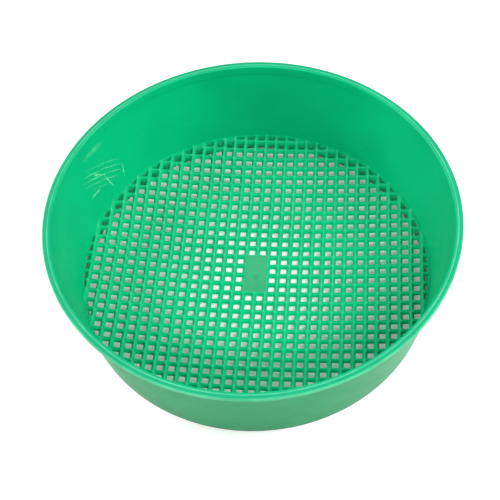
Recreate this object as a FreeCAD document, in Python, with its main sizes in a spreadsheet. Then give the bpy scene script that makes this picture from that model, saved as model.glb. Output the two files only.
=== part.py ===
# Round plastic garden sieve: a tapered wall with a turned-out rim over a dished mesh floor.
#
# The real sieve is one moulding. It is modelled as the moulding's regions, which meet face to face:
# rings turned about Z, and a floor cut from a shallow spherical dish.
#
# Frame: Z up, origin on the sieve's axis at the bottom of the foot. The mesh bars run along X and Y.

import FreeCAD, Part
import Sketcher
import math
import os

Vector = FreeCAD.Vector

doc = FreeCAD.newDocument("SoilSieve")

# ---------------------------------------------------------------- driving dimensions, in millimetres

DIMENSIONS = [
    ("overall_height", 96.0, "ground to the top of the rim"),
    ("foot_radius", 156.2, "outside of the wall where it stands"),
    ("neck_radius", 173.4, "outside of the wall where it meets the rim"),
    ("wall_thick", 2.2, "wall, measured level"),
    ("rim_radius", 177.7, "outside of the rim"),
    ("rim_thick", 2.2, "rim flange"),
    ("lip_drop", 3.6, "rim top to the lower edge of the lip"),
    ("lip_thick", 1.6, "lip"),
    ("bead_rounding", 0.9, "rounding of the rim's top edges"),
    ("lip_rounding", 0.4, "rounding of the lip's lower edges"),
    ("collar_height", 6.0, "thicker band of wall under the rim"),
    ("collar_step", 0.5, "how far the band stands in from the wall"),
    ("mesh_radius", 155.2, "edge of the mesh, where its solid border begins"),
    ("floor_level", 13.5, "underside of the floor at the edge of the mesh"),
    ("floor_thick", 3.0, "floor"),
    ("dish_depth", 12.5, "how far the middle of the floor hangs below its edge"),
    ("pitch", 10.0, "from one mesh bar to the next"),
    ("hole_top", 7.8, "side of a mesh hole at the top of the floor"),
    ("hole_bottom", 5.0, "side of a mesh hole at the underside"),
    ("hole_overrun", 1.5, "how far a hole's cutter runs past the floor"),
    ("hole_least", 1.0, "least width of a hole that the mesh's edge cuts short"),
    ("pad_width", 20.0, "solid pad, along X"),
    ("pad_length", 40.0, "solid pad, along Y"),
    ("gate_radius", 2.6, "round gate mark in the pad"),
    ("gate_depth", 0.4, "gate mark"),
    ("gate_offset", 4.0, "gate mark, from the axis towards -Y"),
]

sheet = doc.addObject("Spreadsheet::Sheet", "Dimensions")
for row, (alias, value, meaning) in enumerate(DIMENSIONS, start=1):
    sheet.set(f"A{row}", meaning)
    sheet.set(f"B{row}", str(value))
    sheet.setAlias(f"B{row}", alias)
doc.recompute()

# ---------------------------------------------------------------- sizes worked out from the sheet


def cell(alias):
    """Expression for one driving dimension."""
    return "Dimensions." + alias


def sized(expression):
    """The number that an expression stands for."""
    return float(sheet.evalExpression(expression))


GROUND = "0"
RIM_TOP = cell("overall_height")
RIM_UNDERSIDE = f"({RIM_TOP} - {cell('rim_thick')})"
LIP_BOTTOM = f"({RIM_TOP} - {cell('lip_drop')})"
LIP_INSIDE = f"({cell('rim_radius')} - {cell('lip_thick')})"
COLLAR_BOTTOM = f"({RIM_UNDERSIDE} - {cell('collar_height')})"
FLOOR_UNDERSIDE = cell("floor_level")
FLOOR_TOP = f"({FLOOR_UNDERSIDE} + {cell('floor_thick')})"
WALL_SLOPE = f"(({cell('neck_radius')} - {cell('foot_radius')}) / {RIM_UNDERSIDE})"

# The floor lies between two equal spheres, one above the other.
MESH_EDGE = cell("mesh_radius")
SPHERE_RADIUS = f"(({MESH_EDGE} ^ 2 + {cell('dish_depth')} ^ 2) / (2 * {cell('dish_depth')}))"
DISH_BOTTOM = f"({FLOOR_UNDERSIDE} - {cell('dish_depth')})"
DISH_TOP = f"({DISH_BOTTOM} + {cell('floor_thick')})"
LOWER_CENTRE = f"({DISH_BOTTOM} + {SPHERE_RADIUS})"
UPPER_CENTRE = f"({DISH_TOP} + {SPHERE_RADIUS})"


def wall_outside(height):
    """Radius of the wall's outside at a height."""
    return f"({cell('foot_radius')} + {WALL_SLOPE} * {height})"


def wall_inside(height):
    """Radius of the wall's inside at a height."""
    return f"({wall_outside(height)} - {cell('wall_thick')})"


def collar_inside(height):
    """Radius of the inside of the band under the rim at a height."""
    return f"({wall_inside(height)} - {cell('collar_step')})"


# ---------------------------------------------------------------- rings turned about Z


def hold(sketch, kind, corner, expression):
    """Hold a corner of an outline at its distance from the sketch's origin."""
    if expression == GROUND:
        sketch.addConstraint(Sketcher.Constraint("PointOnObject", corner, 1, -1))
        return
    constraint = Sketcher.Constraint(kind, -1, 1, corner, 1, sized(expression))
    index = sketch.addConstraint(constraint)
    sketch.setExpression(f"Constraints[{index}]", expression)


def upright_body(name):
    """An empty body with a sketch on its XZ plane."""
    body = doc.addObject("PartDesign::Body", name)
    body.Label = name
    upright = next(plane for plane in body.Origin.OriginFeatures if plane.Role == "XZ_Plane")
    sketch = body.newObject("Sketcher::SketchObject", name + "_outline")
    sketch.AttachmentSupport = [(upright, "")]
    sketch.MapMode = "FlatFace"
    return body, sketch


def turn(body, sketch, angle):
    """Turn a body's outline about Z."""
    turned = body.newObject("PartDesign::Revolution", body.Name + "_turned")
    turned.Profile = (sketch, [""])
    turned.ReferenceAxis = (sketch, ["V_Axis"])
    turned.Angle = angle
    sketch.Visibility = False
    doc.recompute()
    return body


def ring(name, corners):
    """A body turned about Z from straight sides through (radius, height) corners."""
    body, sketch = upright_body(name)
    points = [Vector(sized(radius), sized(height), 0) for radius, height in corners]
    for start, end in zip(points, points[1:] + points[:1]):
        sketch.addGeometry(Part.LineSegment(start, end), False)
    for side in range(len(points)):
        following = (side + 1) % len(points)
        sketch.addConstraint(Sketcher.Constraint("Coincident", side, 2, following, 1))
    for corner, (radius, height) in enumerate(corners):
        hold(sketch, "DistanceX", corner, radius)
        hold(sketch, "DistanceY", corner, height)
    return turn(body, sketch, 360)


def wall_band(name, bottom, top, inside):
    """A ring of the tapered wall between two heights."""
    return ring(name, [
        (wall_outside(bottom), bottom),
        (wall_outside(top), top),
        (inside(top), top),
        (inside(bottom), bottom),
    ])


def round_circles(body, name, height, rounding):
    """Round every circular edge that lies at a height."""
    base = body.Tip
    level = sized(height)
    edges = []
    for number, edge in enumerate(base.Shape.Edges, start=1):
        box = edge.BoundBox
        if abs(box.ZMin - level) < 1e-4 and abs(box.ZMax - level) < 1e-4:
            edges.append(f"Edge{number}")
    fillet = body.newObject("PartDesign::Fillet", name)
    fillet.Base = (base, edges)
    fillet.setExpression("Radius", cell(rounding))
    doc.recompute()


def make_foot_skirt():
    """The wall below the floor, which the sieve stands on."""
    return wall_band("foot_skirt", GROUND, FLOOR_UNDERSIDE, wall_inside)


def make_side_wall():
    """The smooth wall between the floor's underside and the band under the rim."""
    return wall_band("side_wall", FLOOR_UNDERSIDE, COLLAR_BOTTOM, wall_inside)


def make_rim_collar():
    """The slightly thicker band of wall that carries the rim."""
    return wall_band("rim_collar", COLLAR_BOTTOM, RIM_UNDERSIDE, collar_inside)


def make_top_rim():
    """The flange turned out at the top, with a lip turned down at its edge."""
    rim = ring("top_rim", [
        (collar_inside(RIM_UNDERSIDE), RIM_UNDERSIDE),
        (LIP_INSIDE, RIM_UNDERSIDE),
        (LIP_INSIDE, LIP_BOTTOM),
        (cell("rim_radius"), LIP_BOTTOM),
        (cell("rim_radius"), RIM_TOP),
        (collar_inside(RIM_TOP), RIM_TOP),
    ])
    round_circles(rim, "rim_bead", RIM_TOP, "bead_rounding")
    round_circles(rim, "lip_edge", LIP_BOTTOM, "lip_rounding")
    return rim


def make_floor_border():
    """The solid ring between the mesh and the wall."""
    return ring("floor_border", [
        (MESH_EDGE, FLOOR_UNDERSIDE),
        (wall_inside(FLOOR_UNDERSIDE), FLOOR_UNDERSIDE),
        (wall_inside(FLOOR_TOP), FLOOR_TOP),
        (MESH_EDGE, FLOOR_TOP),
    ])


# ---------------------------------------------------------------- the dished floor


def primitive(kind, name, sizes, place):
    """A Part primitive with its sizes and its corner or centre bound to expressions."""
    solid = doc.addObject(kind, name)
    for size, expression in sizes.items():
        solid.setExpression(size, expression)
    for axis, expression in place.items():
        solid.setExpression("Placement.Base." + axis, expression)
    return solid


def combine(kind, name, first, second):
    """A boolean of two objects, with its faces left as the boolean makes them."""
    result = doc.addObject(kind, name)
    result.Refine = False
    result.Base = first
    result.Tool = second
    doc.recompute()
    return result


def mirrored(name, source, normal):
    """An object fused with its mirror image in an upright plane through the axis."""
    image = doc.addObject("Part::Mirroring", name + "_image")
    image.Source = source
    image.Normal = normal
    return combine("Part::Fuse", name, source, image)


def whole(name, quarter):
    """A quarter mirrored in the YZ plane, and then in the XZ plane."""
    half = mirrored(name + "_half", quarter, Vector(1, 0, 0))
    return mirrored(name, half, Vector(0, 1, 0))


def dish_arc(sketch, side, centre):
    """A sphere's lowest arc, from the axis out to the mesh's edge."""
    middle = Vector(0, sized(centre), 0)
    radius = sized(SPHERE_RADIUS)
    lean = math.asin(sized(MESH_EDGE) / radius)
    down = -math.pi / 2
    circle = Part.Circle(middle, Vector(0, 0, 1), radius)
    sketch.addGeometry(Part.ArcOfCircle(circle, down, down + lean), False)
    sketch.addConstraint(Sketcher.Constraint("PointOnObject", side, 3, -2))
    height = sketch.addConstraint(Sketcher.Constraint("DistanceY", -1, 1, side, 3, middle.y))
    sketch.setExpression(f"Constraints[{height}]", centre)
    size = sketch.addConstraint(Sketcher.Constraint("Radius", side, radius))
    sketch.setExpression(f"Constraints[{size}]", SPHERE_RADIUS)


def make_dish_quarter():
    """A quarter of the floor before it is cut: the space between two spheres, inside the mesh's edge."""
    body, sketch = upright_body("dish_quarter")
    edge = sized(MESH_EDGE)
    lower_arc, edge_side, upper_arc, axis_side = range(4)
    start, end = 1, 2
    edge_bottom = Vector(edge, sized(FLOOR_UNDERSIDE), 0)
    edge_top = Vector(edge, sized(FLOOR_TOP), 0)
    axis_top = Vector(0, sized(DISH_TOP), 0)
    axis_bottom = Vector(0, sized(DISH_BOTTOM), 0)
    dish_arc(sketch, lower_arc, LOWER_CENTRE)
    sketch.addGeometry(Part.LineSegment(edge_bottom, edge_top), False)
    dish_arc(sketch, upper_arc, UPPER_CENTRE)
    sketch.addGeometry(Part.LineSegment(axis_top, axis_bottom), False)
    joints = [
        (lower_arc, end, edge_side, start),
        (edge_side, end, upper_arc, end),
        (upper_arc, start, axis_side, start),
        (axis_side, end, lower_arc, start),
    ]
    for joint in joints:
        sketch.addConstraint(Sketcher.Constraint("Coincident", *joint))
    sketch.addConstraint(Sketcher.Constraint("Vertical", edge_side))
    sketch.addConstraint(Sketcher.Constraint("PointOnObject", axis_side, start, -2))
    sketch.addConstraint(Sketcher.Constraint("PointOnObject", axis_side, end, -2))
    hold(sketch, "DistanceX", edge_side, MESH_EDGE)
    return turn(body, sketch, 90)


def make_pad_block():
    """The upright block that holds the pad."""
    width = cell("pad_width")
    length = cell("pad_length")
    sizes = {"Length": width, "Width": length, "Height": RIM_TOP}
    return primitive("Part::Box", "pad_block", sizes, {"x": f"-{width} / 2", "y": f"-{length} / 2"})


def make_centre_pad(dish_quarter, block):
    """The solid pad at the middle of the mesh, with the round mark of the moulding's gate."""
    quarter = combine("Part::Common", "pad_quarter", dish_quarter, block)
    solid_pad = whole("solid_pad", quarter)
    sizes = {"Radius": cell("gate_radius"), "Height": cell("floor_thick")}
    place = {"y": f"-{cell('gate_offset')}", "z": f"{DISH_TOP} - {cell('gate_depth')}"}
    gate = primitive("Part::Cylinder", "gate_cutter", sizes, place)
    return combine("Part::Cut", "centre_pad", solid_pad, gate)


def tapered_block(low_side, low_height, high_side, high_height):
    """A flat-sided solid between two level squares centred on Z."""
    turns = [(-0.5, -0.5), (0.5, -0.5), (0.5, 0.5), (-0.5, 0.5)]
    low = [Vector(x * low_side, y * low_side, low_height) for x, y in turns]
    high = [Vector(x * high_side, y * high_side, high_height) for x, y in turns]
    outlines = [low, high]
    for corner in range(4):
        following = (corner + 1) % 4
        outlines.append([low[corner], low[following], high[following], high[corner]])
    faces = [Part.Face(Part.makePolygon(outline + outline[:1])) for outline in outlines]
    block = Part.makeSolid(Part.makeShell(faces))
    if block.Volume < 0:
        block.reverse()
    return block


def hole_places():
    """Centres of one quarter's holes: the cells that reach inside the mesh's edge, except the pad's."""
    pitch = sized(cell("pitch"))
    edge = sized(MESH_EDGE)
    half_hole = sized(cell("hole_bottom")) / 2
    reach = edge - sized(cell("hole_least"))
    pad_x = sized(cell("pad_width")) / 2
    pad_y = sized(cell("pad_length")) / 2
    middles = [(index + 0.5) * pitch for index in range(math.ceil(edge / pitch))]
    for x in middles:
        for y in middles:
            in_pad = x < pad_x and y < pad_y
            if math.hypot(x - half_hole, y - half_hole) < reach and not in_pad:
                yield x, y


def make_hole_cutters():
    """The tapered square cutters of the mesh holes, each at the floor's height where it stands."""
    thick = sized(cell("floor_thick"))
    overrun = sized(cell("hole_overrun"))
    radius = sized(SPHERE_RADIUS)
    bottom = sized(DISH_BOTTOM)
    hole_bottom = sized(cell("hole_bottom"))
    hole_top = sized(cell("hole_top"))
    taper = (hole_top - hole_bottom) / thick
    low_side = hole_bottom - taper * overrun
    high_side = hole_top + taper * overrun
    cutter = tapered_block(low_side, -overrun, high_side, thick + overrun)
    cutters = []
    for x, y in hole_places():
        rise = radius - math.sqrt(radius ** 2 - x ** 2 - y ** 2)
        cutters.append(cutter.translated(Vector(x, y, bottom + rise)))
    holes = doc.addObject("Part::Feature", "hole_cutters")
    holes.Shape = Part.makeCompound(cutters)
    return holes


def make_mesh_floor(dish_quarter, block):
    """The grid of bars around the pad, made as a quarter and mirrored twice."""
    around_pad = combine("Part::Cut", "quarter_around_pad", dish_quarter, block)
    quarter = combine("Part::Cut", "mesh_quarter", around_pad, make_hole_cutters())
    return whole("mesh_floor", quarter)


# ---------------------------------------------------------------- the sieve

dish = make_dish_quarter()
pad_block = make_pad_block()

subparts = [
    make_top_rim(),
    make_rim_collar(),
    make_side_wall(),
    make_foot_skirt(),
    make_floor_border(),
    make_mesh_floor(dish, pad_block),
    make_centre_pad(dish, pad_block),
]
doc.recompute()

for item in doc.Objects:
    if "Invalid" in item.State or "Error" in item.State:
        raise RuntimeError(f"{item.Name} failed: {item.State}")

for subpart in subparts:
    if subpart.Shape.isNull() or not subpart.Shape.isValid():
        raise RuntimeError(f"{subpart.Label} has no valid shape")

os.makedirs("parts", exist_ok=True)
for subpart in subparts:
    subpart.Shape.exportStep(f"parts/{subpart.Label}.step")
    shape = subpart.Shape
    print(f"{subpart.Label}: {len(shape.Solids)} solid, {len(shape.Faces)} faces, {shape.Volume:.0f} mm3")
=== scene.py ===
# Round plastic garden sieve: the moulding's rings and mesh, its plastic, and a plain studio.

import math

import bmesh
import bpy
from mathutils import Matrix, Vector


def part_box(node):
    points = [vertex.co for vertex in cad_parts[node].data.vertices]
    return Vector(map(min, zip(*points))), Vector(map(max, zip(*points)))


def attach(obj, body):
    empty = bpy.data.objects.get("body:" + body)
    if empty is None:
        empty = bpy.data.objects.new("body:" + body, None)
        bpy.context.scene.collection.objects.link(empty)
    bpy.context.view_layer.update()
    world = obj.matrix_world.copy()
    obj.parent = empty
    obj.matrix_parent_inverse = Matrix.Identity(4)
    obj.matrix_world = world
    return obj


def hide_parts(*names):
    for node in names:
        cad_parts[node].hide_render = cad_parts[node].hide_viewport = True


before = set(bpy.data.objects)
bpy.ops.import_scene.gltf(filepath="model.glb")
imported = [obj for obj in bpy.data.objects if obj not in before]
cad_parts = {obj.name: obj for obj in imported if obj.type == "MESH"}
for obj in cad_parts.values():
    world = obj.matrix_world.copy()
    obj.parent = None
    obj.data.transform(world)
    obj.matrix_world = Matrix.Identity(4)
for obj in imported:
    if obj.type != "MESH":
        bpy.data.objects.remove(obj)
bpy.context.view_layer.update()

BODY = "root"
MM = 0.001
SEGMENTS = 288

# ---------------------------------------------------------------- sizes read from the frame


def radius_at(node, height, pick):
    """The largest or smallest radius of a CAD node's corners at a height."""
    near = 0.05 * MM
    corners = [vertex.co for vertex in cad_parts[node].data.vertices]
    return pick(math.hypot(c.x, c.y) for c in corners if abs(c.z - height) < near)


def levels(node):
    """The lowest and highest height of a CAD node."""
    low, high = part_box(node)
    return low.z, high.z


GROUND, FLOOR_UNDERSIDE = levels("foot_skirt")
COLLAR_BOTTOM, RIM_UNDERSIDE = levels("rim_collar")
LIP_BOTTOM, RIM_TOP = levels("top_rim")
FLOOR_TOP = levels("floor_border")[1]
DISH_BOTTOM = levels("mesh_floor")[0]
FLOOR_THICK = FLOOR_TOP - FLOOR_UNDERSIDE
RIM_RADIUS = min(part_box("top_rim")[1].xy)
LIP_INSIDE = radius_at("top_rim", RIM_UNDERSIDE, max)
MESH_RADIUS = radius_at("mesh_floor", FLOOR_UNDERSIDE, max)
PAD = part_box("centre_pad")[1]

FOOT_OUT = radius_at("foot_skirt", GROUND, max)
FOOT_IN = radius_at("foot_skirt", GROUND, min)
NECK_OUT = radius_at("rim_collar", RIM_UNDERSIDE, max)
NECK_COLLAR_IN = radius_at("rim_collar", RIM_UNDERSIDE, min)
COLLAR_IN = radius_at("rim_collar", COLLAR_BOTTOM, min)
WALL_SLOPE = (NECK_OUT - FOOT_OUT) / (RIM_UNDERSIDE - GROUND)


def wall_out(height):
    """Radius of the wall's outside at a height."""
    return FOOT_OUT + WALL_SLOPE * (height - GROUND)


def wall_in(height):
    """Radius of the wall's inside at a height."""
    return FOOT_IN + WALL_SLOPE * (height - GROUND)


DISH_DEPTH = FLOOR_UNDERSIDE - DISH_BOTTOM
DISH_SPHERE = (MESH_RADIUS ** 2 + DISH_DEPTH ** 2) / (2 * DISH_DEPTH)


def dish(x, y):
    """Height of the floor's underside."""
    return DISH_BOTTOM + DISH_SPHERE - math.sqrt(DISH_SPHERE ** 2 - x * x - y * y)


# ---------------------------------------------------------------- meshes


def piece(name, vertices, faces, material, node, sharp=35):
    """A smooth-shaded piece that stands for a CAD node."""
    mesh = bpy.data.meshes.new(name)
    mesh.from_pydata([tuple(vertex) for vertex in vertices], [], faces)
    mesh.update()
    mesh.materials.append(material)
    mesh.shade_smooth()
    mesh.set_sharp_from_angle(angle=math.radians(sharp))
    made = bpy.data.objects.new(name, mesh)
    bpy.context.scene.collection.objects.link(made)
    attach(made, BODY)
    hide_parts(node)
    return made


def rounded(corners, steps=6):
    """An outline with its corners rounded. Each corner is (radius, height, rounding)."""
    outline = []
    count = len(corners)
    for index in range(count):
        corner = Vector(corners[index][:2])
        rounding = corners[index][2]
        if rounding == 0:
            outline.append(corner)
            continue
        before = (Vector(corners[index - 1][:2]) - corner).normalized()
        after = (Vector(corners[(index + 1) % count][:2]) - corner).normalized()
        half = before.angle(after) / 2
        reach = rounding / math.tan(half)
        middle = corner + (before + after).normalized() * rounding / math.sin(half)
        start = corner + before * reach - middle
        end = corner + after * reach - middle
        sweep = start.angle_signed(end)
        for step in range(steps + 1):
            outline.append(middle + Matrix.Rotation(-sweep * step / steps, 2) @ start)
    return outline


def lathe(name, corners, material, node):
    """A closed ring turned about Z from a rounded outline."""
    outline = rounded(corners)
    count = len(outline)
    vertices = []
    for segment in range(SEGMENTS):
        angle = 2 * math.pi * segment / SEGMENTS
        for radius, height in outline:
            vertices.append((radius * math.cos(angle), radius * math.sin(angle), height))
    faces = []
    for segment in range(SEGMENTS):
        here = segment * count
        there = (segment + 1) % SEGMENTS * count
        for index in range(count):
            following = (index + 1) % count
            faces.append((here + index, here + following, there + following, there + index))
    return piece(name, vertices, faces, material, node)


# ---------------------------------------------------------------- the mesh floor

PITCH = 10 * MM
HALF = PITCH / 2
HOLE_TOP = 3.9 * MM
HOLE_BOTTOM = 2.5 * MM
CORNER_TOP = 1.2 * MM
CORNER_BOTTOM = 0.6 * MM
BAR_SAG = 0.2 * MM
LEAST_HOLE = 1.0 * MM
GATE = (0.0, -4 * MM)
GATE_RADIUS = 3.2 * MM


def square_ring(half, corner):
    """Points round a square whose corners are rounded."""
    side = half - corner
    slant = side + corner * math.sqrt(0.5)
    quarter = [(half, side), (slant, slant), (side, half), (0.0, half)]
    return turned_quarters(quarter)


def cell_border():
    """Points round a cell, matched one to one with a ring of its hole."""
    return turned_quarters([(HALF, 0.8 * HALF), (HALF, HALF), (0.8 * HALF, HALF), (0.0, HALF)])


def turned_quarters(quarter):
    """A quarter's points, turned to all four quadrants."""
    points = []
    for _ in range(4):
        points.extend(quarter)
        quarter = [(-y, x) for x, y in quarter]
    return points


def hole_rings():
    """Rings of a mesh hole from the ridge down to the underside: (half side, corner, height)."""
    top = FLOOR_THICK
    return [
        (HALF - 0.30 * MM, CORNER_TOP * 1.2, top - 0.08 * MM),
        (HOLE_TOP + 0.35 * MM, CORNER_TOP * 1.1, top - 0.24 * MM),
        (HOLE_TOP - 0.10 * MM, CORNER_TOP, top - 0.75 * MM),
        (HOLE_BOTTOM + 0.10 * MM, CORNER_BOTTOM, 0.25 * MM),
        (HOLE_BOTTOM + 0.05 * MM, CORNER_BOTTOM, 0.0),
    ]


def bar_top(x, y):
    """Height of the top of the bars on a cell's border: highest at the crossings."""
    from_crossing = min(HALF, (HALF - abs(x)) + (HALF - abs(y))) / HALF
    return FLOOR_THICK - BAR_SAG * from_crossing ** 2


class Grid:
    """Collects the faces of the mesh cells, and joins corners that fall on the same place."""

    def __init__(self):
        self.vertices = []
        self.faces = []
        self.places = {}

    def corner(self, x, y, height):
        """The number of the corner at a place above the dish."""
        key = (round(x * 1e7), round(y * 1e7), round(height * 1e7))
        if key not in self.places:
            self.places[key] = len(self.vertices)
            self.vertices.append((x, y, dish(x, y) + height))
        return self.places[key]

    def ring(self, middle, points, height):
        """The corners of one ring of a cell, at a height or at the bars' top."""
        corners = []
        for x, y in points:
            level = bar_top(x, y) if height is None else height
            corners.append(self.corner(middle[0] + x, middle[1] + y, level))
        return corners

    def band(self, upper, lower):
        """Faces between two rings."""
        count = len(upper)
        for index in range(count):
            following = (index + 1) % count
            self.faces.append((upper[index], upper[following], lower[following], lower[index]))

    def close_sides(self):
        """Upright faces wherever a cell has no neighbour."""
        edges = dict.fromkeys(edge for face in self.faces for edge in zip(face, face[1:] + face[:1]))
        for start, end in [edge for edge in edges if edge[::-1] not in edges]:
            x0, y0, z0 = self.vertices[start]
            x1, y1, z1 = self.vertices[end]
            if z0 - dish(x0, y0) < FLOOR_THICK / 2:
                continue
            below_end = self.corner(x1, y1, 0.0)
            below_start = self.corner(x0, y0, 0.0)
            self.faces.append((end, start, below_start, below_end))


def holed_cell(grid, middle):
    """A mesh cell with its hole."""
    border = cell_border()
    rings = [grid.ring(middle, border, None)]
    for half, corner, height in hole_rings():
        rings.append(grid.ring(middle, square_ring(half, corner), height))
    rings.append(grid.ring(middle, border, 0.0))
    for upper, lower in zip(rings, rings[1:]):
        grid.band(upper, lower)


def solid_cell(grid, middle):
    """A mesh cell with no hole."""
    border = cell_border()
    top = grid.ring(middle, border, None)
    bottom = grid.ring(middle, border, 0.0)
    grid.faces.append(tuple(top))
    grid.faces.append(tuple(reversed(bottom)))


def make_grid():
    """All the mesh cells round the pad, out past the mesh's edge."""
    grid = Grid()
    cells = math.ceil(MESH_RADIUS / PITCH)
    middles = [(index + 0.5) * PITCH for index in range(-cells, cells)]
    for x in middles:
        for y in middles:
            if abs(x) < PAD.x and abs(y) < PAD.y:
                continue
            nearest = math.hypot(abs(x) - HALF, abs(y) - HALF)
            if nearest > MESH_RADIUS:
                continue
            hole = math.hypot(abs(x) - HOLE_BOTTOM, abs(y) - HOLE_BOTTOM)
            if hole < MESH_RADIUS - LEAST_HOLE:
                holed_cell(grid, (x, y))
            else:
                solid_cell(grid, (x, y))
    grid.close_sides()
    return grid


def dissolve_loose_corners(mesh):
    """Take out corners that join only two edges, which would fold faces over when triangulated."""
    work = bmesh.new()
    work.from_mesh(mesh)
    loose = [corner for corner in work.verts if len(corner.link_edges) == 2]
    bmesh.ops.dissolve_verts(work, verts=loose)
    work.to_mesh(mesh)
    work.free()


def trim_to_circle(made, radius):
    """Cut a piece to a circle about Z."""
    vertices = []
    for height in (GROUND - RIM_TOP, RIM_TOP):
        for segment in range(SEGMENTS):
            angle = 2 * math.pi * segment / SEGMENTS
            vertices.append((radius * math.cos(angle), radius * math.sin(angle), height))
    faces = [tuple(reversed(range(SEGMENTS))), tuple(range(SEGMENTS, 2 * SEGMENTS))]
    for segment in range(SEGMENTS):
        following = (segment + 1) % SEGMENTS
        faces.append((segment, following, following + SEGMENTS, segment + SEGMENTS))
    mesh = bpy.data.meshes.new("trimmer")
    mesh.from_pydata(vertices, [], faces)
    trimmer = bpy.data.objects.new("trimmer", mesh)
    bpy.context.scene.collection.objects.link(trimmer)
    cut = made.modifiers.new("trim", "BOOLEAN")
    cut.operation = "INTERSECT"
    cut.solver = "MANIFOLD"
    cut.object = trimmer
    bpy.context.view_layer.update()
    depsgraph = bpy.context.evaluated_depsgraph_get()
    trimmed = bpy.data.meshes.new_from_object(made.evaluated_get(depsgraph))
    made.modifiers.remove(cut)
    bpy.data.objects.remove(trimmer)
    dissolve_loose_corners(trimmed)
    made.data = trimmed


# ---------------------------------------------------------------- plastic


class Nodes:
    """Short ways to add shader nodes to a material."""

    def __init__(self, material):
        material.use_nodes = True
        self.tree = material.node_tree
        self.tree.nodes.clear()

    def add(self, kind, **settings):
        """A node with its settings. A setting named after an input sets or links that input."""
        node = self.tree.nodes.new(kind)
        for name, value in settings.items():
            if name.startswith("in_"):
                socket = node.inputs[int(name[3:])]
                self.feed(socket, value)
            else:
                setattr(node, name, value)
        return node

    def feed(self, socket, value):
        """Link a socket to another, or set its value."""
        if isinstance(value, bpy.types.NodeSocket):
            self.tree.links.new(value, socket)
        else:
            socket.default_value = value

    def math(self, operation, first, second=0.0, third=0.0):
        """A number worked out from others."""
        node = self.add("ShaderNodeMath", operation=operation, in_0=first, in_1=second, in_2=third)
        return node.outputs[0]

    def radius(self, first, second):
        """The length of a flat vector."""
        squares = self.math("MULTIPLY_ADD", first, first, self.math("MULTIPLY", second, second))
        return self.math("SQRT", squares)

    def noise(self, vector, scale, detail=2.0, roughness=0.5):
        """A noise between 0 and 1."""
        node = self.add("ShaderNodeTexNoise", in_0=vector)
        node.inputs["Scale"].default_value = scale
        node.inputs["Detail"].default_value = detail
        node.inputs["Roughness"].default_value = roughness
        return node.outputs["Fac"]

    def fade(self, value, low, high):
        """0 below low, 1 above high, and smooth between."""
        node = self.add("ShaderNodeMapRange", interpolation_type="SMOOTHSTEP", in_0=value)
        node.inputs["From Min"].default_value = low
        node.inputs["From Max"].default_value = high
        return node.outputs[0]

    def mix(self, factor, first, second):
        """A blend of two colours."""
        node = self.add("ShaderNodeMix", data_type="RGBA")
        self.feed(node.inputs["Factor"], factor)
        self.feed(node.inputs[6], first)
        self.feed(node.inputs[7], second)
        return node.outputs[2]

    def scaled(self, colour, factor):
        """A colour made lighter or darker."""
        if not isinstance(colour, bpy.types.NodeSocket):
            colour = colour[:3]
        node = self.add("ShaderNodeVectorMath", operation="SCALE", in_0=colour)
        self.feed(node.inputs["Scale"], factor)
        return node.outputs[0]


# Linear red, green, blue and alpha.
GREEN = (0.0, 0.405, 0.167, 1.0)
# The wall's outside gets a darker copy of the green: painted shade.
OUTSIDE_SHADE_GREEN = (0.006, 0.248, 0.098, 1.0)
# The rim's flange gets a darker copy of the green: painted shade. The bead's inner side keeps the
# brighter green.
RIM_SHADE_GREEN = (0.012, 0.31, 0.148, 1.0)
MESH_GREEN = (0.0, 0.40, 0.165, 1.0)
PAD_GREEN = (0.035, 0.32, 0.15, 1.0)
# PALE_GREEN paints the real rubs and strokes, and also the painted highlights on the rim's edges and the
# bars' tops.
PALE_GREEN = (0.16, 0.66, 0.36, 1.0)
# SPECK_AND_SHADE_BROWN paints the dark specks, and also the painted shade along the foot's standing edge.
SPECK_AND_SHADE_BROWN = (0.01, 0.07, 0.03, 1.0)
OUTSIDE_GLOSS = 0.16
OUTSIDE_IOR = 1.25
MARK_RADIUS = wall_in((GROUND + RIM_TOP) / 2)
BEAD_CREST = NECK_COLLAR_IN + 3.0 * MM

# Rubs on the inside of the wall: angle from +X in degrees, height, half length and half width in
# millimetres, tilt in degrees, strength.
RUBS = [
    (155, 54.5, 7.5, 1.7, 44, 0.75),
    (151.7, 38, 12.5, 1.1, 72, 0.95),
    (144.6, 35, 9.5, 1.0, 99, 0.80),
    (159, 41, 9.0, 1.6, 8, 0.80),
    (153, 80, 16, 3.6, 4, 0.30),
    (191, 62, 11, 0.8, 46, 0.40),
    (188.5, 60, 9, 0.8, 46, 0.30),
    (203.5, 36, 3.2, 1.8, 35, 0.50),
    (203, 21, 2.4, 2.2, 0, 0.50),
    (133.8, 55.5, 1.1, 1.0, 0, 0.50),
    (118, 44, 0.7, 0.7, 0, 0.40),
]

# Dark specks there, in the same terms.
SPECKS = [
    (63, 23.5, 1.4, 0.9, 0, 0.9),
    (52.5, 34, 1.0, 0.9, 0, 0.9),
    (12, 62, 0.6, 0.6, 0, 0.5),
    (240, 30, 0.7, 0.6, 0, 0.5),
]

# The patch of fine strokes, in the same terms, then how far apart the strokes are and how far they waver.
STROKE_PATCH = (153.5, 52, 32, 16, 28, 0.8)
STROKE_SPACING = 5.2 * MM
STROKE_WAVER = 7 * MM


def on_wall(n, place):
    """Arc along the wall from its -X side, height, and 1 on the wall's inside."""
    x, y, z = n.add("ShaderNodeSeparateXYZ", in_0=place).outputs
    turn = n.math("ARCTAN2", n.math("MULTIPLY", y, -1.0), n.math("MULTIPLY", x, -1.0))
    arc = n.math("MULTIPLY", turn, MARK_RADIUS)
    middle = n.math("MULTIPLY_ADD", z, WALL_SLOPE, (FOOT_IN + FOOT_OUT) / 2)
    inside = n.math("LESS_THAN", n.radius(x, y), middle)
    return arc, z, inside


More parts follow.
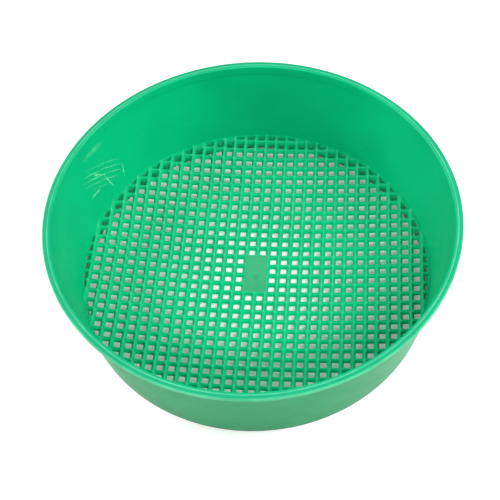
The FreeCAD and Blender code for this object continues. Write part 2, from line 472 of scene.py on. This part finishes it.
def oval(n, arc, height, mark):
    """1 in the middle of an oval mark, fading to 0 at its edge, and the distance across it."""
    angle, level, long, wide, tilt, _ = mark
    along = n.math("SUBTRACT", arc, (math.radians(angle) - math.pi) * MARK_RADIUS)
    up = n.math("SUBTRACT", height, level * MM)
    cosine = math.cos(math.radians(tilt))
    sine = math.sin(math.radians(tilt))
    length = n.math("MULTIPLY_ADD", along, cosine, n.math("MULTIPLY", up, sine))
    across = n.math("MULTIPLY_ADD", up, cosine, n.math("MULTIPLY", along, -sine))
    reach = n.radius(n.math("DIVIDE", length, long * MM), n.math("DIVIDE", across, wide * MM))
    return n.math("SUBTRACT", 1.0, n.fade(reach, 0.45, 1.0)), across


def marks(n, arc, height, table):
    """All the marks of a table together."""
    total = 0.0
    for mark in table:
        shape, _ = oval(n, arc, height, mark)
        total = n.math("MAXIMUM", total, n.math("MULTIPLY", shape, mark[5]))
    return total


def strokes(n, place, arc, height):
    """A patch of fine parallel strokes on the inside of the wall."""
    patch, across = oval(n, arc, height, STROKE_PATCH)
    waver = n.math("MULTIPLY", n.noise(place, 28, 2), STROKE_WAVER)
    wave = n.math("SINE", n.math("MULTIPLY", n.math("ADD", across, waver), 2 * math.pi / STROKE_SPACING))
    return n.math("MULTIPLY", n.math("MULTIPLY", n.fade(wave, 0.72, 1.0), patch), STROKE_PATCH[5])


def wall_wear_and_foot_shade(n, place):
    """Pale rubs and strokes and dark specks on the inside of the wall, and painted shade darkening the
    foot's lowest two millimetres all round.
    """
    arc, height, inside = on_wall(n, place)
    broken = n.fade(n.noise(place, 210, 3, 0.6), 0.30, 0.62)
    rubs = n.math("MAXIMUM", strokes(n, place, arc, height), marks(n, arc, height, RUBS))
    pale = n.math("MULTIPLY", n.math("MULTIPLY", rubs, broken), inside)
    dark = n.math("MULTIPLY", marks(n, arc, height, SPECKS), inside)
    # Painted shade: darker at the foot's standing edge, where the sieve meets the paper.
    foot = n.math("SUBTRACT", 1.0, n.fade(height, GROUND + 0.4 * MM, GROUND + 2.2 * MM))
    return pale, n.math("MAXIMUM", dark, n.math("MULTIPLY", foot, 0.8))


def rim_painted_highlights(n, place):
    """Painted highlights along the rim's outer edge and along the bead's crest, broken into patches."""
    x, y, _ = n.add("ShaderNodeSeparateXYZ", in_0=place).outputs
    out = n.radius(x, y)
    edge = n.fade(out, RIM_RADIUS - 1.3 * MM, RIM_RADIUS - 0.2 * MM)
    rise = n.fade(out, BEAD_CREST - 1.0 * MM, BEAD_CREST)
    bead = n.math("SUBTRACT", rise, n.fade(out, BEAD_CREST, BEAD_CREST + 0.8 * MM))
    patchy = n.fade(n.noise(place, 35, 4, 0.6), 0.35, 0.70)
    # Painted highlight strength, patchy along the rim.
    highlight = n.math("MAXIMUM", n.math("MULTIPLY", edge, patchy), n.math("MULTIPLY_ADD", patchy, 0.5, 0.5))
    edges = n.math("MAXIMUM", edge, bead)
    return n.math("MULTIPLY", n.math("MULTIPLY", edges, highlight), 0.6), 0.0


def bar_painted_highlights(n, place):
    """Painted highlights on the tops of the bars, broken into patches: strongest at the crossings, and
    along the bars that run along Y.
    """
    x, y, z = n.add("ShaderNodeSeparateXYZ", in_0=place).outputs
    rise = n.math("DIVIDE", n.math("POWER", n.radius(x, y), 2.0), 2 * DISH_SPHERE)
    above = n.math("SUBTRACT", n.math("SUBTRACT", z, DISH_BOTTOM), rise)
    ridge = n.fade(above, FLOOR_THICK - 0.7 * MM, FLOOR_THICK - 0.1 * MM)
    from_x = n.math("PINGPONG", x, HALF)
    from_y = n.math("PINGPONG", y, HALF)
    crossing = n.math("SUBTRACT", 1.0, n.fade(n.radius(from_x, from_y), 0.6 * MM, 1.8 * MM))
    patchy = n.fade(n.noise(place, 45, 4, 0.6), 0.2, 0.8)
    along_y = n.math("SUBTRACT", 1.0, n.fade(from_x, 0.4 * MM, 1.2 * MM))
    # Painted highlight: brighter at the crossings and on the bars along Y, where the lamps glint.
    highlight = n.math("MULTIPLY_ADD", crossing, 0.22, n.math("MULTIPLY", along_y, 0.20))
    return n.math("MULTIPLY", n.math("MULTIPLY", ridge, highlight), patchy), 0.0


def pad_wear(n, place):
    """The gate mark, slightly darker than the pad round it."""
    x, y, _ = n.add("ShaderNodeSeparateXYZ", in_0=place).outputs
    reach = n.radius(n.math("SUBTRACT", x, GATE[0]), n.math("SUBTRACT", y, GATE[1]))
    mark = n.math("SUBTRACT", 1.0, n.fade(reach, 0.6 * GATE_RADIUS, 1.1 * GATE_RADIUS))
    return 0.0, n.math("MULTIPLY", mark, 0.16)


def wall_inside(n, place):
    """1 on the wall's inside and 0 on its outside."""
    return on_wall(n, place)[2]


def bead_inside(n, place):
    """1 on the inner side of the rim's bead, fading to 0 on its crest: there the rim keeps the brighter
    green, and elsewhere takes the darker green of painted shade.
    """
    x, y, _ = n.add("ShaderNodeSeparateXYZ", in_0=place).outputs
    return n.math("SUBTRACT", 1.0, n.fade(n.radius(x, y), BEAD_CREST - 2.4 * MM, BEAD_CREST - 0.8 * MM))


def plastic(name, green, wear_and_painted_light, outside=None, roughness=0.36, grain=0.05, gloss=0.32, ior=1.49):
    """Moulded green polypropylene: faint mottling, patchy gloss, fine grain, and the marks that the wear
    function gives: real wear and specks, painted highlights and painted shade.

    outside, if given, is a darker green that paints shade, with duller gloss, and the function that is 1
    where the brighter green shows.
    """
    material = bpy.data.materials.new(name)
    n = Nodes(material)
    place = n.add("ShaderNodeTexCoord").outputs["Object"]
    pale, dark = wear_and_painted_light(n, place)
    colour = green
    if outside:
        shaded_green, mask = outside
        inside = mask(n, place)
        colour = n.mix(inside, shaded_green, green)
        gloss = n.math("MULTIPLY_ADD", inside, gloss - OUTSIDE_GLOSS, OUTSIDE_GLOSS)
        ior = n.math("MULTIPLY_ADD", inside, ior - OUTSIDE_IOR, OUTSIDE_IOR)
    mottling = n.math("MULTIPLY_ADD", n.fade(n.noise(place, 22, 3), 0.3, 0.7), -0.09, 1.04)
    # pale holds the rubs, strokes and painted highlights; dark holds the specks and painted shade.
    colour = n.mix(pale, n.scaled(colour, mottling), PALE_GREEN)
    colour = n.mix(dark, colour, SPECK_AND_SHADE_BROWN)
    rough = n.math("MULTIPLY_ADD", n.noise(place, 60, 5, 0.65), 0.16, roughness - 0.08)
    rough = n.math("MULTIPLY_ADD", pale, 0.25, rough)
    bump = n.add("ShaderNodeBump")
    bump.inputs["Strength"].default_value = grain
    bump.inputs["Distance"].default_value = 0.2 * MM
    n.feed(bump.inputs["Height"], n.math("MULTIPLY_ADD", pale, 0.6, n.noise(place, 1500, 2)))
    shader = n.add("ShaderNodeBsdfPrincipled")
    n.feed(shader.inputs["Base Color"], colour)
    n.feed(shader.inputs["Roughness"], rough)
    n.feed(shader.inputs["Normal"], bump.outputs[0])
    n.feed(shader.inputs["IOR"], ior)
    n.feed(shader.inputs["Specular IOR Level"], gloss)
    output = n.add("ShaderNodeOutputMaterial")
    n.feed(output.inputs["Surface"], shader.outputs[0])
    return material


# ---------------------------------------------------------------- the sieve's pieces


def make_top_rim(material):
    """Flange with a rounded inner bead, a rounded outer edge and a lip turned down."""
    bead_in = NECK_COLLAR_IN + WALL_SLOPE * (RIM_TOP - RIM_UNDERSIDE)
    lathe("rim_flange", [
        (NECK_COLLAR_IN, RIM_UNDERSIDE, 0),
        (bead_in, RIM_TOP, 1.5 * MM),
        (RIM_RADIUS, RIM_TOP, 1.0 * MM),
        (RIM_RADIUS, LIP_BOTTOM, 0.4 * MM),
        (LIP_INSIDE, LIP_BOTTOM, 0.3 * MM),
        (LIP_INSIDE, RIM_UNDERSIDE, 0),
    ], material, "top_rim")


def make_rim_collar(material):
    """The thicker band under the rim, with a small step at its lower edge."""
    lathe("rim_band", [
        (wall_in(COLLAR_BOTTOM), COLLAR_BOTTOM, 0),
        (COLLAR_IN, COLLAR_BOTTOM, 0.15 * MM),
        (NECK_COLLAR_IN, RIM_UNDERSIDE, 0),
        (NECK_OUT, RIM_UNDERSIDE, 0),
        (wall_out(COLLAR_BOTTOM), COLLAR_BOTTOM, 0),
    ], material, "rim_collar")


def make_side_wall(material):
    """The smooth tapered wall."""
    lathe("tapered_wall", [
        (wall_in(FLOOR_UNDERSIDE), FLOOR_UNDERSIDE, 0),
        (wall_in(COLLAR_BOTTOM), COLLAR_BOTTOM, 0),
        (wall_out(COLLAR_BOTTOM), COLLAR_BOTTOM, 0),
        (wall_out(FLOOR_UNDERSIDE), FLOOR_UNDERSIDE, 0),
    ], material, "side_wall")


def make_foot_skirt(material):
    """The wall below the floor, with its standing edge rounded."""
    lathe("standing_foot", [
        (FOOT_IN, GROUND, 0.35 * MM),
        (wall_in(FLOOR_UNDERSIDE), FLOOR_UNDERSIDE, 0),
        (wall_out(FLOOR_UNDERSIDE), FLOOR_UNDERSIDE, 0),
        (FOOT_OUT, GROUND, 0.5 * MM),
    ], material, "foot_skirt")


def make_floor_border(material):
    """The narrow solid ring between the mesh and the wall."""
    lathe("mesh_border", [
        (MESH_RADIUS, FLOOR_UNDERSIDE, 0),
        (MESH_RADIUS, FLOOR_TOP, 0.25 * MM),
        (wall_in(FLOOR_TOP), FLOOR_TOP, 0),
        (wall_in(FLOOR_UNDERSIDE), FLOOR_UNDERSIDE, 0),
    ], material, "floor_border")


def make_mesh_floor(material):
    """The dished grid of round-topped bars."""
    grid = make_grid()
    made = piece("bar_grid", grid.vertices, grid.faces, material, "mesh_floor", sharp=50)
    trim_to_circle(made, MESH_RADIUS)


def make_centre_pad(material):
    """The solid pad with its shallow round gate mark."""
    step = 1.0 * MM
    gate = Vector(GATE)
    columns = round(2 * PAD.x / step)
    rows = round(2 * PAD.y / step)
    xs = [-PAD.x + 2 * PAD.x * column / columns for column in range(columns + 1)]
    ys = [-PAD.y + 2 * PAD.y * row / rows for row in range(rows + 1)]
    vertices = []
    for x in xs:
        for y in ys:
            distance = (Vector((x, y)) - gate).length
            mark = 0.25 * MM * max(0.0, 1 - (distance / GATE_RADIUS) ** 2)
            vertices.append((x, y, dish(x, y) + FLOOR_THICK - mark))
    layer = len(vertices)
    for x in xs:
        for y in ys:
            vertices.append((x, y, dish(x, y)))
    faces = []
    for column in range(columns):
        for row in range(rows):
            a = column * (rows + 1) + row
            b = a + rows + 1
            faces.append((a, b, b + 1, a + 1))
            faces.append((layer + a, layer + a + 1, layer + b + 1, layer + b))
    for column in range(columns):
        a = column * (rows + 1)
        b = a + rows + 1
        faces.append((a, layer + a, layer + b, b))
        faces.append((b + rows, layer + b + rows, layer + a + rows, a + rows))
    for row in range(rows):
        a = row
        b = columns * (rows + 1) + row
        faces.append((a + 1, layer + a + 1, layer + a, a))
        faces.append((b, layer + b, layer + b + 1, b + 1))
    piece("gate_pad", vertices, faces, material, "centre_pad")


# ---------------------------------------------------------------- studio


def make_camera():
    """A long lens looking down into the sieve."""
    target = Vector((-6.1, 18.6, 15.0)) * MM
    azimuth = math.radians(7.64)
    elevation = math.radians(54.45)
    roll = math.radians(-4.26)
    distance = 1040.7 * MM
    data = bpy.data.cameras.new("camera")
    data.lens = 82.03
    data.sensor_width = 36
    camera = bpy.data.objects.new("camera", data)
    bpy.context.scene.collection.objects.link(camera)
    back = Vector((math.sin(azimuth), -math.cos(azimuth), 0)) * math.cos(elevation)
    back.z = math.sin(elevation)
    facing = back.to_track_quat("Z", "Y").to_matrix().to_4x4()
    place = Matrix.Translation(target + back * distance)
    camera.matrix_world = place @ facing @ Matrix.Rotation(roll, 4, "Z")
    bpy.context.scene.camera = camera


# Each light: name, place in metres, width and height of its face in metres, watts.
LIGHTS = [
    ("right", (1.5, 0.1, 1.1), (1.2, 1.2), 24.6),
    ("right_high", (1.1, 0.1, 1.6), (1.2, 1.2), 23.3),
    ("left", (-1.5, 0.2, 0.9), (1.2, 1.2), 34),
    ("front", (0.15, -1.45, 1.45), (1.2, 0.35), 24.5),
]
PAPER_GLOW = 0.16


def area_light(name, place, size, power):
    """A flat light aimed at the sieve."""
    data = bpy.data.lights.new(name, "AREA")
    data.shape = "RECTANGLE"
    data.size = size[0]
    data.size_y = size[1]
    data.energy = power
    light = bpy.data.objects.new(name, data)
    light.location = place
    light.rotation_euler = (-Vector(place)).to_track_quat("-Z", "Y").to_euler()
    bpy.context.scene.collection.objects.link(light)


def make_floor():
    """A sheet of white paper."""
    half = 1.6
    corners = [(-half, -half, 0), (half, -half, 0), (half, half, 0), (-half, half, 0)]
    mesh = bpy.data.meshes.new("floor")
    mesh.from_pydata(corners, [], [(0, 1, 2, 3)])
    floor = bpy.data.objects.new("floor", mesh)
    bpy.context.scene.collection.objects.link(floor)
    white = bpy.data.materials.new("white_paper")
    white.use_nodes = True
    shader = white.node_tree.nodes["Principled BSDF"]
    shader.inputs["Base Color"].default_value = (0.92, 0.91, 0.90, 1)
    shader.inputs["Roughness"].default_value = 0.9
    shader.inputs["Emission Color"].default_value = (1, 1, 1, 1)
    shader.inputs["Emission Strength"].default_value = PAPER_GLOW
    mesh.materials.append(white)


def make_studio():
    """White paper before a white backdrop that sheds no light, soft side lights and a strip in front."""
    make_floor()
    for light in LIGHTS:
        area_light(*light)
    world = bpy.data.worlds.new("surround")
    bpy.context.scene.world = world
    world.use_nodes = True
    nodes = world.node_tree.nodes
    nodes["Background"].inputs["Color"].default_value = (1, 1, 1, 1)
    seen = nodes.new("ShaderNodeLightPath").outputs["Is Camera Ray"]
    world.node_tree.links.new(seen, nodes["Background"].inputs["Strength"])
    bpy.context.scene.view_settings.view_transform = "Standard"


# ---------------------------------------------------------------- build

wall_plastic = plastic("wall_plastic", GREEN, wall_wear_and_foot_shade, (OUTSIDE_SHADE_GREEN, wall_inside), gloss=0.22)
rim_plastic = plastic("rim_plastic", GREEN, rim_painted_highlights, (RIM_SHADE_GREEN, bead_inside), gloss=0.22)
mesh_plastic = plastic("mesh_plastic", MESH_GREEN, bar_painted_highlights, roughness=0.30, gloss=0.2, ior=1.35)
pad_plastic = plastic("pad_plastic", PAD_GREEN, pad_wear, roughness=0.52, grain=0.15)

make_top_rim(rim_plastic)
make_rim_collar(wall_plastic)
make_side_wall(wall_plastic)
make_foot_skirt(wall_plastic)
make_floor_border(mesh_plastic)
make_mesh_floor(mesh_plastic)
make_centre_pad(pad_plastic)
make_studio()
make_camera()
